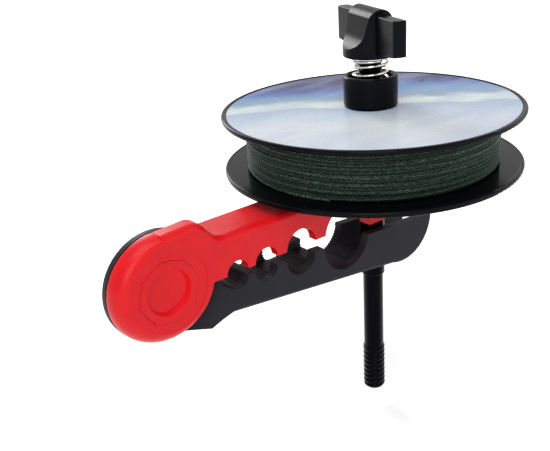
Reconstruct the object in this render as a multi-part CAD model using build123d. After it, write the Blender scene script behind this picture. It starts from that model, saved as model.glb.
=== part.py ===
from build123d import *
import os
from math import cos, hypot, pi, radians, sin, sqrt

# Line winder: two hinged toothed jaws carry a line spool on a threaded spindle.
# Millimetres. Origin on the spindle's axis, in the plane where the line spool rests.
# +X runs along the arm from the hinge to its free end, +Z up the spindle.

# ---- line spool ----
SPOOL_RADIUS = 50.0
SPOOL_HEIGHT = 20.2
FLANGE_THICK = 1.2
LOWER_RIM_THICK = 1.8
UPPER_RIM_THICK = 1.6
RIM_WIDTH = 1.6
RIM_ROUNDING = 0.6
LABEL_RECESS = 0.2
HUB_BOSS_RADIUS = 8.4
DRUM_RIBS = 6
RIB_THICK = 1.2
RIB_DROP = 3.5
SKIRT_DEPTH = 2.5
SKIRT_WALL = 1.2
FLANGE_STEP = 0.1
SPOOL_BORE = 6.6
HUB_TUBE_WALL = 1.8
DRUM_RADIUS = 30.0
DRUM_WALL = 1.6
LABEL_MARGIN = 0.2
LABEL_BORE_GAP = 0.1
LABEL_THICK = 0.15
LINE_RADIUS = 42.5
LINE_DIAMETER = 0.55
LINE_TURNS = 16

# ---- spindle and what sits on it ----
SHANK_RADIUS = 3.6
THREAD_RADIUS = 4.0
THREAD_PITCH = 2.0
THREAD_DEPTH = 0.45
THREAD_MOUTH_SHARE = 0.36
THREAD_ROOT_SHARE = 0.1
THREAD_CHAMFER = 0.8
SPINDLE_TOP = 44.0
SPINDLE_END = -90.8
LOWER_THREAD_LENGTH = 18.0
UPPER_THREAD_FOOT = 6.0
SLEEVE_RADIUS = 4.2
SLEEVE_END = -42.0
SLEEVE_CHAMFER = 0.3
ROLL_PIN_RADIUS = 0.75
ROLL_PIN_RISE = 3.0
ROLL_PIN_CHAMFER = 0.15
SEAT_RADIUS = 9.0
SEAT_CHAMFER = 0.6
SEAT_WASHER_THICK = 0.6
SPIGOT_LENGTH = 3.0
SPIGOT_CHAMFER = 0.8
CUP_RADIUS = 8.9
CUP_HEIGHT = 10.1
CUP_WALL = 1.5
CUP_FLOOR = 2.4
CUP_ROUNDING = 0.7
CUP_LIP = 0.4
CUP_SPIGOT_CHAMFER = 0.6

# ---- drag spring and wing knob ----
SPRING_RADIUS = 6.1
SPRING_WIRE = 0.9
SPRING_END_PITCH = 1.4
SPRING_MIDDLE_TURNS = 3.5
SPRING_START = 77.0
KNOB_BASE = 36.4
KNOB_RADIUS = 8.9
KNOB_RIDGE_TOP = 51.8
KNOB_RIDGE_HALF = 4.9
KNOB_SCOOP_FOOT = 39.2
KNOB_WAIST_RISE = 6.3
KNOB_BOWL_MIDDLE = (1.15, 3.0)
KNOB_SHOULDER = (1.0, 2.4)
KNOB_CREST_MIDDLE = (2.6, 0.75)
KNOB_EDGE = 0.8
WING_REACH = 22.6
WING_THICK = 4.4
WING_FOOT = 39.3
WING_ROOT_DROP = 1.4
WING_TOP = 50.0
WING_TAPER = 0.3
WING_TIP_ROUNDING = 1.5
WING_EDGE = 0.5
KNOB_AZIMUTH = -112.0
KNOB_DRAW = 2.0
INSERT_RADIUS = 5.0
INSERT_LENGTH = 7.0
INSERT_GROOVE_WIDTH = 1.6
INSERT_GROOVE_DEPTH = 0.35
THRUST_WASHER_RADIUS = 6.4
THRUST_WASHER_THICK = 0.6

# ---- jaws ----
ARM_WIDTH = 16.0
JAW_TOP = -2.8
JAW_END = 16.0
JAW_EDGE = 2.2
JAW_END_FLAT = 1.5
TEETH_Z = -15.65
TEETH_GAP = 0.3
TEETH_CHANNEL = 9.6
TEETH_CHANNEL_DEPTH = 3.1
TEETH_CHANNEL_MARGIN = 2.0
NOTCHES = ((-65.0, 4.0, 0), (-54.0, 4.4, 0), (-40.0, 6.0, 0), (-20.0, 9.85, 1.5))
BOSS_LENGTH = 12.4
BOSS_WIDTH = 9.8
BOSS_RADIUS = 4.5
BOSS_FOOT = -20.2
LOWER_END = 23.6
LOWER_TIP_DROP = 15.0
LOWER_ROOT_DROP = 11.0
LOWER_ROOT_REACH = 8.0
LOWER_ROOT_RISE = 0.6
HEEL_DROP = 14.6
HEEL_START = 2.5
HEEL_LENGTH = 12.5
HEEL_RAMP = 6.0
NOSE_LENGTH = 19.0
NOSE_MIDDLE = (4.3, 11.2)
LOWER_EDGE = 1.8
GROOVE_WIDTH = 8.4
GROOVE_DEPTH = 3.2
FORK_START = -12.4
FORK_WIDTH = 10.6
FLUTE_RADIUS = 0.35
FLUTE_STEP = 0.95
FLUTE_START_ANGLE = 9.0
FLUTE_FRONT = 3.0

# ---- hinge ----
HUB_X = -88.5
HUB_Z = -13.0
LUG_RADIUS = 16.5
LUG_EDGE_DEPTH = 5.2
LUG_FACE_RADIUS = 13.2
LUG_FACE_SHIFT = (1.6, 1.2)
LUG_PARTING = -2.3
REAR_LUG_RADIUS = 16.6
REAR_LUG_THICK = 2.6
REAR_LUG_EDGE = 1.0
REAR_BOSS_RADIUS = 10.0
LUG_CLEARANCE = 0.9
RELIEF_GAP = 0.7
RELIEF_FLARE = 9.5
WASHER_THICK = 0.35
WASHER_MARGIN = 1.5
DROOP = 4.1
HUMP_START = -79.0
HUMP_TOP = 4.0
HUMP_END = -67.5
CAP_RADIUS = 9.3
CAP_THICK = 2.3
CAP_DISH_RADIUS = 7.0
CAP_DISH_DEPTH = 1.5
CAP_DISH_SLOPE = 0.5
CAP_GAP = 0.12
NUBS = 8
NUB_START = 10.0
NUB_RADIUS = 0.65
WITNESS_RADIUS = 12.7
WITNESS_DEPTH = 0.15
PIN_RADIUS = 2.5
PIN_HEAD_RADIUS = 4.5
PIN_HEAD_THICK = 1.4
PIN_HEAD_EDGE = 0.5
PIN_SLOT_WIDTH = 1.0
PIN_SLOT_DEPTH = 0.7
NUT_RADIUS = 4.6
NUT_THICK = 1.7
REAR_CAP_RADIUS = 5.6
REAR_CAP_THICK = 0.9
REAR_CAP_CHAMFER = 0.3
TORSION_RADIUS = 5.6
TORSION_WIRE = 1.1
TORSION_TURNS = 2.5
TORSION_PITCH = 1.55
TANG_LENGTH = 1.2
WELL_FLOOR_THICK = 2.0
SLOT_SLACK = 2.0
OPEN_ANGLE = 50.0

# ---- clearances, how far a cutter runs past its work, and how far joined shapes sink in ----
RUNNING_GAP = 0.05
SEATED_GAP = 0.02
FREE_GAP = 0.3
CUT_PAST = 1.0
SINK = 0.1

# ---- worked out from the sizes above ----
FRONT_Y = -ARM_WIDTH / 2
REAR_Y = ARM_WIDTH / 2
UPPER_TEETH = TEETH_Z + TEETH_GAP / 2
LOWER_TEETH = TEETH_Z - TEETH_GAP / 2
LOWER_FACE = LOWER_RIM_THICK - FLANGE_STEP
LABEL_RADIUS = SPOOL_RADIUS - RIM_WIDTH - LABEL_MARGIN
ROLL_PIN_Z = SLEEVE_END + ROLL_PIN_RISE
UPPER_FACE = SPOOL_HEIGHT - LABEL_RECESS - LABEL_THICK
CUP_FOOT = SPOOL_HEIGHT
CUP_TOP = CUP_FOOT + CUP_HEIGHT
SPRING_FOOT = CUP_FOOT + CUP_FLOOR
THRUST_WASHER_FOOT = KNOB_BASE - THRUST_WASHER_THICK
LUG_REAR_FACE = LUG_PARTING + WASHER_THICK + RUNNING_GAP
CAP_SEAT_Y = FRONT_Y + CAP_THICK
PIN_SEAT_Y = CAP_SEAT_Y + PIN_HEAD_THICK + FREE_GAP
REAR_CAP_SEAT_Y = REAR_Y - REAR_CAP_THICK
NUT_SEAT_Y = REAR_CAP_SEAT_Y - NUT_THICK - FREE_GAP
SPRING_WELL_FLOOR = NUT_SEAT_Y - WELL_FLOOR_THICK
TORSION_START_Y = LUG_PARTING + TORSION_WIRE / 2 + FREE_GAP
HUB = (HUB_X, HUB_Z)


# ---- helpers ----
def slab(sketch, y_from, y_to):
    """A sketch drawn in X and Z, made solid from one depth to another."""
    return extrude(Plane.XZ.offset(-y_to) * sketch, amount=y_to - y_from)


def disc_y(centre, radius, y_from, y_to):
    return slab(Pos(centre[0], centre[1]) * Circle(radius), y_from, y_to)


def ring_y(centre, outer, inner, y_from, y_to):
    return disc_y(centre, outer, y_from, y_to) - disc_y(centre, inner, y_from, y_to)


def disc_z(radius, z_from, z_to):
    return extrude(Plane.XY.offset(z_from) * Circle(radius), amount=z_to - z_from)


def ring_z(outer, inner, z_from, z_to):
    return disc_z(outer, z_from, z_to) - disc_z(inner, z_from, z_to)


def box_between(x, y, z):
    size = (x[1] - x[0], y[1] - y[0], z[1] - z[0])
    centre = ((x[0] + x[1]) / 2, (y[0] + y[1]) / 2, (z[0] + z[1]) / 2)
    return Pos(*centre) * Box(*size)


def turned(points):
    """A profile of radius and height turned about the spindle's axis."""
    return revolve(Plane.XZ * make_face(Polyline(*points, close=True)), Axis.Z)


def about_hub(part, angle):
    """Turn a part about the hinge; a positive angle opens the jaw."""
    return part.rotate(Axis((HUB_X, 0, HUB_Z), (0, 1, 0)), angle)


# ---- coils: each quarter turn is a pair of tangent arcs ----
def coil_knots(radius, heights):
    """Points and directions at each quarter turn of a coil about Z."""
    knots = []
    last = len(heights) - 1
    for i, height in enumerate(heights):
        before = heights[max(i - 1, 0)]
        after = heights[min(i + 1, last)]
        climb = (after - before) / (min(i + 1, last) - max(i - 1, 0))
        angle = i * pi / 2
        run = radius * pi / 2
        size = hypot(run, climb)
        point = Vector(radius * cos(angle), radius * sin(angle), height)
        course = Vector(-sin(angle) * run / size, cos(angle) * run / size, climb / size)
        knots.append((point, course))
    return knots


def arc_pair(start, end):
    """Two arcs that meet in one direction between two knots."""
    p0, t0 = start
    p1, t1 = end
    span = p1 - p0
    square = 2 * t0.dot(t1) - 2
    linear = -2 * span.dot(t0 + t1)
    constant = span.dot(span)
    reach = (-linear - sqrt(linear * linear - 4 * square * constant)) / (2 * square)
    corner = p0 + t0 * reach
    far_corner = p1 - t1 * reach
    joint = (corner + far_corner) * 0.5
    course = (far_corner - corner).normalized()
    return [TangentArc(p0, joint, tangent=t0), TangentArc(joint, p1, tangent=course)]


def coil(radius, heights, wire_radius):
    """One unbroken round wire wound about Z, and its least gap to itself."""
    knots = coil_knots(radius, heights)
    edges = []
    for start, end in zip(knots, knots[1:]):
        edges += arc_pair(start, end)
    path = Wire(edges)
    section = Plane(origin=knots[0][0], z_dir=knots[0][1]) * Circle(wire_radius)
    return sweep(sections=section, path=path), least_gap(edges, wire_radius)


def least_gap(edges, wire_radius, samples=4):
    """The least distance between neighbouring turns, measured on points."""
    points = []
    for edge in edges:
        points += [edge @ (k / samples) for k in range(samples)]
    turn = 8 * samples
    nearest = min(
        (points[i] - points[j]).length
        for i in range(0, len(points), 3)
        for j in range(i + turn // 2, min(i + turn + turn // 4, len(points)))
    )
    return nearest - 2 * wire_radius


# ---- upper jaw ----
def front_lug():
    """The front half of the hinge: a disc whose front edge is rounded off centre."""
    steps = 6
    start_y = FRONT_Y + LUG_EDGE_DEPTH
    sections = []
    for i in range(steps + 1):
        angle = pi / 2 * i / steps
        share = 1 - cos(angle)
        radius = LUG_RADIUS + (LUG_FACE_RADIUS - LUG_RADIUS) * share
        x = HUB_X + LUG_FACE_SHIFT[0] * share
        z = HUB_Z + LUG_FACE_SHIFT[1] * share
        y = start_y - LUG_EDGE_DEPTH * sin(angle)
        sections.append(Plane.XZ.offset(-y) * Pos(x, z) * Circle(radius))
    return loft(sections) + disc_y(HUB, LUG_RADIUS, start_y, LUG_PARTING)


def jaw_plan():
    """The arm seen from above, with its free end rounded."""
    corner = ARM_WIDTH / 2 - JAW_END_FLAT
    plan = Pos((HUB_X + JAW_END) / 2, 0) * Rectangle(JAW_END - HUB_X, ARM_WIDTH)
    ends = plan.vertices().filter_by(lambda v: v.X > 0)
    height = HUMP_TOP + LUG_RADIUS - BOSS_FOOT
    return extrude(Plane.XY.offset(BOSS_FOOT) * fillet(ends, corner), amount=height)


def front_profile():
    """Side view of the arm's front part, with the hump that rises to the hinge."""
    top = Line((HUB_X, HUB_Z + LUG_RADIUS), (HUMP_START, HUMP_TOP))
    slope = Spline((HUMP_START, HUMP_TOP), (HUMP_END, JAW_TOP), tangents=((1, 0), (1, 0)))
    rest = Polyline(
        (HUMP_END, JAW_TOP),
        (JAW_END, JAW_TOP),
        (JAW_END, UPPER_TEETH),
        (HUB_X + LUG_RADIUS * 0.9, UPPER_TEETH),
        (HUB_X, UPPER_TEETH),
        (HUB_X, HUB_Z + LUG_RADIUS),
    )
    return make_face([*top.edges(), *slope.edges(), *rest.edges()])


def rear_profile():
    length = JAW_END - HUB_X
    height = JAW_TOP - UPPER_TEETH
    return Pos(HUB_X + length / 2, UPPER_TEETH + height / 2) * Rectangle(length, height)


def upper_arm():
    swing = disc_y(HUB, REAR_LUG_RADIUS + LUG_CLEARANCE, LUG_PARTING, REAR_Y + CUT_PAST)
    arm = slab(front_profile(), FRONT_Y, LUG_PARTING)
    arm += slab(rear_profile(), LUG_PARTING, REAR_Y) - swing
    arm &= jaw_plan()
    upper = arm.edges().filter_by(lambda e: e.center().Z > JAW_TOP - 0.01)
    front = upper.filter_by(lambda e: abs(e.center().Y - FRONT_Y) < 0.01)
    rear = upper.filter_by(lambda e: abs(e.center().Y - REAR_Y) < 0.01)
    free_end = upper.filter_by(lambda e: e.center().X > JAW_END - ARM_WIDTH / 2)
    return fillet(list({*front, *rear, *free_end}), JAW_EDGE)


def upper_notches():
    """Each notch's place: across the arm, up and its radius, for the upper jaw."""
    return [(x, TEETH_Z - drop, radius) for x, radius, drop in NOTCHES]


def lower_notches():
    return [(x, TEETH_Z, radius) for x, radius, drop in NOTCHES]


def notch_cutters(notches):
    cutters = [disc_y((x, z), radius, FRONT_Y - CUT_PAST, REAR_Y + CUT_PAST) for x, z, radius in notches]
    return cutters[0] + cutters[1:]


def teeth_channel():
    """The hollow between the two rows of teeth."""
    half = TEETH_CHANNEL / 2
    start = NOTCHES[0][0] - NOTCHES[0][1] - TEETH_CHANNEL_MARGIN
    height = (UPPER_TEETH - CUT_PAST, UPPER_TEETH + TEETH_CHANNEL_DEPTH)
    return box_between((start, NOTCHES[-1][0]), (-half, half), height)


def spindle_boss():
    """The boss the spindle passes through, flat at its front and round at its back."""
    length = (-BOSS_LENGTH / 2, BOSS_LENGTH / 2)
    height = (BOSS_FOOT, UPPER_TEETH + CUT_PAST)
    front = box_between(length, (-BOSS_WIDTH / 2, 0), height)
    return front + disc_z(BOSS_RADIUS, *height)


def cap_recess():
    nub_ring = PolarLocations(CAP_RADIUS, NUBS, start_angle=NUB_START)
    outline = Circle(CAP_RADIUS + CAP_GAP) + nub_ring * Circle(NUB_RADIUS + CAP_GAP)
    return slab(Pos(*HUB) * outline, FRONT_Y - CUT_PAST, CAP_SEAT_Y)


def torsion_tang_place():
    return (HUB_X + TORSION_RADIUS, HUB_Z)


def upper_jaw():
    body = front_lug() + upper_arm() + spindle_boss()
    body -= notch_cutters(upper_notches())
    body -= teeth_channel()
    body -= cap_recess()
    body -= disc_y(HUB, WITNESS_RADIUS, FRONT_Y - CUT_PAST, FRONT_Y + WITNESS_DEPTH)
    body -= disc_y(HUB, PIN_HEAD_RADIUS + FREE_GAP, CAP_SEAT_Y - SINK, PIN_SEAT_Y)
    body -= disc_y(HUB, PIN_RADIUS + RUNNING_GAP, FRONT_Y, LUG_PARTING + CUT_PAST)
    tang = TORSION_WIRE / 2 + RUNNING_GAP
    body -= disc_y(torsion_tang_place(), tang, LUG_PARTING - TANG_LENGTH, LUG_PARTING + CUT_PAST)
    body -= disc_z(SHANK_RADIUS + RUNNING_GAP, BOSS_FOOT - CUT_PAST, JAW_TOP + CUT_PAST)
    return body


# ---- lower jaw, drawn closed and then let down by the droop ----
def lower_profile():
    root_z = LOWER_TEETH - LOWER_ROOT_DROP
    root_x = HUB_X + LOWER_ROOT_REACH
    heel_x = HUB_X + HEEL_START
    heel_top = HUB_Z - sqrt(REAR_LUG_RADIUS**2 - HEEL_START**2)
    tip_x = LOWER_END - NOSE_LENGTH
    tip_z = LOWER_TEETH - LOWER_TIP_DROP
    nose = ThreePointArc(
        (LOWER_END, LOWER_TEETH),
        (LOWER_END - NOSE_MIDDLE[0], LOWER_TEETH - NOSE_MIDDLE[1]),
        (tip_x, tip_z),
    )
    rest = Polyline(
        (tip_x, tip_z),
        (heel_x + HEEL_LENGTH + HEEL_RAMP, root_z),
        (heel_x + HEEL_LENGTH, LOWER_TEETH - HEEL_DROP),
        (heel_x, heel_top),
        (root_x, root_z + LOWER_ROOT_RISE),
        (root_x, LOWER_TEETH),
        (LOWER_END, LOWER_TEETH),
    )
    return make_face([*nose.edges(), *rest.edges()])


def lug_relief():
    """Room for the front lug: a cone that opens towards the front."""
    back = Plane.XZ.offset(-LUG_REAR_FACE) * Pos(*HUB) * Circle(LUG_RADIUS + RELIEF_GAP)
    front = Plane.XZ.offset(-FRONT_Y) * Pos(*HUB) * Circle(LUG_RADIUS + RELIEF_FLARE)
    beyond = disc_y(HUB, LUG_RADIUS + RELIEF_FLARE, FRONT_Y - CUT_PAST, FRONT_Y)
    return loft([back, front], ruled=True) + beyond


def rear_lug():
    rim = disc_y(HUB, REAR_LUG_RADIUS, LUG_REAR_FACE, LUG_REAR_FACE + REAR_LUG_THICK)
    rim = fillet(rim.edges().group_by(Axis.Y)[-1], REAR_LUG_EDGE)
    boss = disc_y(HUB, REAR_BOSS_RADIUS, LUG_REAR_FACE, REAR_Y)
    return rim + chamfer(boss.edges().group_by(Axis.Y)[-1], REAR_LUG_EDGE)


def jaw_fork():
    """The slot that straddles the spindle and is open at the free end."""
    half = FORK_WIDTH / 2
    height = (LOWER_TEETH - LOWER_TIP_DROP - CUT_PAST, LOWER_TEETH + CUT_PAST)
    return box_between((FORK_START, LOWER_END + CUT_PAST), (-half, half), height)


def jaw_groove():
    half = GROOVE_WIDTH / 2
    start = NOTCHES[1][0] - NOTCHES[1][1]
    height = (LOWER_TEETH - GROOVE_DEPTH, LOWER_TEETH + CUT_PAST)
    return box_between((start, FORK_START + CUT_PAST), (-half, half), height)


def flutes():
    """Fine grip ridges along each notch, on both of its sides."""
    cuts = []
    for x, z, radius in lower_notches():
        step = FLUTE_STEP / radius
        for i in range(int(radius * 0.9 / FLUTE_STEP) + 2):
            angle = radians(FLUTE_START_ANGLE) + step * (i + 0.5)
            for side in (-1, 1):
                place = (x + side * radius * cos(angle), z - radius * sin(angle))
                cuts.append(Pos(*place) * Circle(FLUTE_RADIUS))
    return slab(Sketch() + cuts, FRONT_Y + FLUTE_FRONT, REAR_Y + CUT_PAST)


def spring_well():
    """Room for the torsion spring, with a slot for its rear tang through the swing."""
    outer = TORSION_RADIUS + TORSION_WIRE / 2
    well = disc_y(HUB, outer + FREE_GAP * 2, LUG_REAR_FACE - CUT_PAST, SPRING_WELL_FLOOR)
    swing = CenterArc((0, 0), TORSION_RADIUS, 180 - SLOT_SLACK, DROOP + OPEN_ANGLE + 2 * SLOT_SLACK)
    slot = SlotArc(swing, TORSION_WIRE + 2 * FREE_GAP)
    return well + slab(Pos(*HUB) * slot, LUG_REAR_FACE, SPRING_WELL_FLOOR + TANG_LENGTH + FREE_GAP)


def lower_jaw():
    body = slab(lower_profile(), FRONT_Y, REAR_Y)
    outer = body.edges().filter_by(lambda e: abs(e.center().Y) > REAR_Y - SINK)
    low = outer.filter_by(lambda e: e.center().Z < LOWER_TEETH - GROOVE_DEPTH)
    long_low = low.filter_by(lambda e: e.center().X > HUB_X + HEEL_START + HEEL_LENGTH + HEEL_RAMP)
    body = fillet(long_low, LOWER_EDGE)
    body -= lug_relief()
    body += rear_lug()
    body -= notch_cutters(lower_notches())
    body -= jaw_groove()
    body -= jaw_fork()
    body -= flutes()
    body -= spring_well()
    body -= disc_y(HUB, PIN_RADIUS + RUNNING_GAP, LUG_REAR_FACE, REAR_Y)
    body -= disc_y(HUB, NUT_RADIUS + FREE_GAP * 2, NUT_SEAT_Y, REAR_Y + CUT_PAST)
    body -= disc_y(HUB, REAR_CAP_RADIUS + SEATED_GAP, REAR_CAP_SEAT_Y, REAR_Y + CUT_PAST)
    return body


# ---- hinge pieces ----
def hub_cap():
    nub_ring = PolarLocations(CAP_RADIUS, NUBS, start_angle=NUB_START)
    outline = Pos(*HUB) * (Circle(CAP_RADIUS) + nub_ring * Circle(NUB_RADIUS))
    cap = slab(outline, FRONT_Y + WITNESS_DEPTH / 2, CAP_SEAT_Y - SEATED_GAP)
    mouth = Plane.XZ.offset(-FRONT_Y + CUT_PAST) * Pos(*HUB) * Circle(CAP_DISH_RADIUS + CAP_DISH_SLOPE)
    floor = Plane.XZ.offset(-FRONT_Y - CAP_DISH_DEPTH) * Pos(*HUB) * Circle(CAP_DISH_RADIUS - CAP_DISH_SLOPE)
    return cap - loft([mouth, floor], ruled=True)


def hub_rear_cap():
    cap = disc_y(HUB, REAR_CAP_RADIUS, REAR_CAP_SEAT_Y + SEATED_GAP, REAR_Y)
    return chamfer(cap.edges().group_by(Axis.Y)[-1], REAR_CAP_CHAMFER)


def hinge_pin():
    head_front = PIN_SEAT_Y - PIN_HEAD_THICK
    head = disc_y(HUB, PIN_HEAD_RADIUS, head_front, PIN_SEAT_Y)
    head = fillet(head.edges().group_by(Axis.Y)[0], PIN_HEAD_EDGE)
    length = (HUB_X - PIN_HEAD_RADIUS - CUT_PAST, HUB_X + PIN_HEAD_RADIUS + CUT_PAST)
    width = (HUB_Z - PIN_SLOT_WIDTH / 2, HUB_Z + PIN_SLOT_WIDTH / 2)
    slot = box_between(length, (head_front - CUT_PAST, head_front + PIN_SLOT_DEPTH), width)
    shank = disc_y(HUB, PIN_RADIUS, PIN_SEAT_Y, NUT_SEAT_Y + NUT_THICK + RUNNING_GAP)
    return head + shank - slot


def hinge_nut():
    hexagon = Pos(*HUB) * RegularPolygon(NUT_RADIUS, 6)
    nut = slab(hexagon, NUT_SEAT_Y + RUNNING_GAP, NUT_SEAT_Y + RUNNING_GAP + NUT_THICK)
    return nut - disc_y(HUB, PIN_RADIUS + SEATED_GAP, NUT_SEAT_Y, REAR_Y)


def hinge_washer():
    inner = TORSION_RADIUS + TORSION_WIRE / 2 + FREE_GAP * 2
    return ring_y(HUB, LUG_RADIUS - WASHER_MARGIN, inner, LUG_PARTING, LUG_PARTING + WASHER_THICK)


def torsion_spring():
    """The closing spring: turns about the pin and a straight tang into each jaw."""
    quarters = int(TORSION_TURNS * 4)
    heights = [TORSION_PITCH * i / 4 for i in range(quarters + 1)]
    turns, gap = coil(TORSION_RADIUS, heights, TORSION_WIRE / 2)
    print("torsion spring, least gap to itself:", round(gap, 2), "mm")
    origin = (HUB_X, TORSION_START_Y, HUB_Z)
    front = Plane(origin=origin, x_dir=(1, 0, 0), z_dir=(0, 1, 0))
    near = HUB_X + TORSION_RADIUS
    far = HUB_X - TORSION_RADIUS
    end_y = TORSION_START_Y + heights[-1]
    front_tang = disc_y((near, HUB_Z), TORSION_WIRE / 2, LUG_PARTING - TANG_LENGTH, TORSION_START_Y + SINK)
    rear_tang = disc_y((far, HUB_Z), TORSION_WIRE / 2, end_y - SINK, SPRING_WELL_FLOOR + TANG_LENGTH)
    return front * turns + front_tang + rear_tang


# ---- spindle and what sits on it ----
def thread_grooves(z_from, z_to):
    """V grooves of the thread's pitch and depth."""
    count = int((z_to - z_from) / THREAD_PITCH)
    mouth = THREAD_PITCH * THREAD_MOUTH_SHARE
    root = THREAD_PITCH * THREAD_ROOT_SHARE
    grooves = []
    for i in range(count):
        z = z_from + THREAD_PITCH * (i + 0.5)
        profile = (
            (THREAD_RADIUS + SINK, z - mouth),
            (THREAD_RADIUS - THREAD_DEPTH, z - root),
            (THREAD_RADIUS - THREAD_DEPTH, z + root),
            (THREAD_RADIUS + SINK, z + mouth),
        )
        grooves.append(turned(profile))
    return grooves


def spindle():
    lower_foot = SPINDLE_END + LOWER_THREAD_LENGTH
    body = disc_z(SHANK_RADIUS, lower_foot, UPPER_THREAD_FOOT)
    lower = disc_z(THREAD_RADIUS, SPINDLE_END, lower_foot)
    upper = disc_z(THREAD_RADIUS, UPPER_THREAD_FOOT, SPINDLE_TOP)
    body += chamfer(lower.edges().group_by(Axis.Z)[0], THREAD_CHAMFER)
    body += chamfer(upper.edges().group_by(Axis.Z)[-1], THREAD_CHAMFER)
    body -= thread_grooves(SPINDLE_END + THREAD_PITCH / 2, lower_foot)
    body -= thread_grooves(UPPER_THREAD_FOOT, SPINDLE_TOP - THREAD_PITCH / 2)
    return body - roll_pin_bore()


def roll_pin_bore():
    bore = Cylinder(ROLL_PIN_RADIUS + SEATED_GAP, 4 * SLEEVE_RADIUS)
    return Pos(0, 0, ROLL_PIN_Z) * Rot(90, 0, 0) * bore


def spindle_sleeve():
    sleeve = ring_z(SLEEVE_RADIUS, SHANK_RADIUS + SEATED_GAP, SLEEVE_END, BOSS_FOOT)
    rims = sleeve.edges().group_by(Axis.Z)[0].sort_by(SortBy.LENGTH)[-1]
    return chamfer(rims, SLEEVE_CHAMFER) - roll_pin_bore()


def roll_pin():
    pin = Rot(90, 0, 0) * Cylinder(ROLL_PIN_RADIUS, 2 * (SLEEVE_RADIUS - SINK))
    return Pos(0, 0, ROLL_PIN_Z) * chamfer(pin.edges().filter_by(GeomType.CIRCLE), ROLL_PIN_CHAMFER)


def lower_seat():
    """The seat under the spool, with the spigot that centres it."""
    foot = JAW_TOP
    top = -SEAT_WASHER_THICK - RUNNING_GAP
    spigot = SPOOL_BORE - FREE_GAP
    inner = SHANK_RADIUS + RUNNING_GAP
    points = (
        (inner, foot),
        (SEAT_RADIUS - SEAT_CHAMFER, foot),
        (SEAT_RADIUS, foot + SEAT_CHAMFER),
        (SEAT_RADIUS, top),
        (spigot, top),
        (spigot, SPIGOT_LENGTH - SPIGOT_CHAMFER),
        (spigot - SPIGOT_CHAMFER, SPIGOT_LENGTH),
        (inner, SPIGOT_LENGTH),
    )
    return turned(points)


def seat_washer():
    return ring_z(SEAT_RADIUS - FREE_GAP, SPOOL_BORE, -SEAT_WASHER_THICK - RUNNING_GAP, -RUNNING_GAP)


def pressure_cup():
    """The cup that presses on the spool and holds the drag spring."""
    bore = THREAD_RADIUS + FREE_GAP
    well = CUP_RADIUS - CUP_WALL
    spigot = SPOOL_BORE - RUNNING_GAP
    points = (
        (bore, CUP_FOOT - SPIGOT_LENGTH),
        (spigot - CUP_SPIGOT_CHAMFER, CUP_FOOT - SPIGOT_LENGTH),
        (spigot, CUP_FOOT - SPIGOT_LENGTH + CUP_SPIGOT_CHAMFER),
        (spigot, CUP_FOOT),
        (CUP_RADIUS - CUP_ROUNDING, CUP_FOOT),
        (CUP_RADIUS - 0.3 * CUP_ROUNDING, CUP_FOOT + 0.3 * CUP_ROUNDING),
        (CUP_RADIUS, CUP_FOOT + CUP_ROUNDING),
        (CUP_RADIUS, CUP_TOP - CUP_LIP),
        (CUP_RADIUS - CUP_LIP, CUP_TOP),
        (well + CUP_LIP, CUP_TOP),
        (well, CUP_TOP - CUP_ROUNDING),
        (well, SPRING_FOOT),
        (bore, SPRING_FOOT),
    )
    return turned(points)


# ---- line spool ----
def flange(rim_foot, rim_thick, face):
    """A thin disc under a face height, with a rounded rim round it."""
    disc = ring_z(SPOOL_RADIUS - RIM_WIDTH / 2, SPOOL_BORE, face - FLANGE_THICK, face)
    section = RectangleRounded(RIM_WIDTH, rim_thick, RIM_ROUNDING)
    place = Pos(SPOOL_RADIUS - RIM_WIDTH / 2, rim_foot + rim_thick / 2)
    return disc + revolve(Plane.XZ * (place * section), Axis.Z)


def spool_lower_flange():
    """The lower flange with the drum, its ribs and the hub tube in one moulding."""
    top = UPPER_FACE - FLANGE_THICK - SEATED_GAP
    body = flange(0, LOWER_RIM_THICK, LOWER_FACE)
    body += ring_z(SPOOL_BORE + HUB_TUBE_WALL, SPOOL_BORE, 0, top)
    foot = LOWER_FACE - SINK
    body += ring_z(DRUM_RADIUS, DRUM_RADIUS - DRUM_WALL, foot, top)
    reach = (SPOOL_BORE + HUB_TUBE_WALL / 2, DRUM_RADIUS - DRUM_WALL / 2)
    rib = box_between(reach, (-RIB_THICK / 2, RIB_THICK / 2), (foot, top - RIB_DROP))
    for place in PolarLocations(0, DRUM_RIBS):
        body += place * rib
    return body


def spool_upper_flange():
    """The upper flange, snapped into the drum by a short skirt."""
    under = UPPER_FACE - FLANGE_THICK
    body = flange(SPOOL_HEIGHT - UPPER_RIM_THICK, UPPER_RIM_THICK, UPPER_FACE)
    body += ring_z(HUB_BOSS_RADIUS, SPOOL_BORE, under, SPOOL_HEIGHT)
    skirt = DRUM_RADIUS - DRUM_WALL - SEATED_GAP
    return body + ring_z(skirt, skirt - SKIRT_WALL, under - SKIRT_DEPTH, under + SINK)


def spool_label():
    return ring_z(LABEL_RADIUS, HUB_BOSS_RADIUS + LABEL_BORE_GAP, UPPER_FACE, UPPER_FACE + LABEL_THICK)


def line_core():
    """The wound line under its outer layer."""
    foot = LOWER_FACE + SEATED_GAP
    top = UPPER_FACE - FLANGE_THICK - SEATED_GAP
    outer = LINE_RADIUS - LINE_DIAMETER - RUNNING_GAP
    return ring_z(outer, DRUM_RADIUS + SEATED_GAP, foot, top)


def line_winding():
    """The outer layer of line, one unbroken strand."""
    foot = LOWER_FACE + LINE_DIAMETER
    top = UPPER_FACE - FLANGE_THICK - LINE_DIAMETER
    quarters = LINE_TURNS * 4
    heights = [foot + (top - foot) * i / quarters for i in range(quarters + 1)]
    winding, gap = coil(LINE_RADIUS - LINE_DIAMETER / 2, heights, LINE_DIAMETER / 2)
    print("line winding, least gap to itself:", round(gap, 2), "mm")
    return winding


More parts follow.
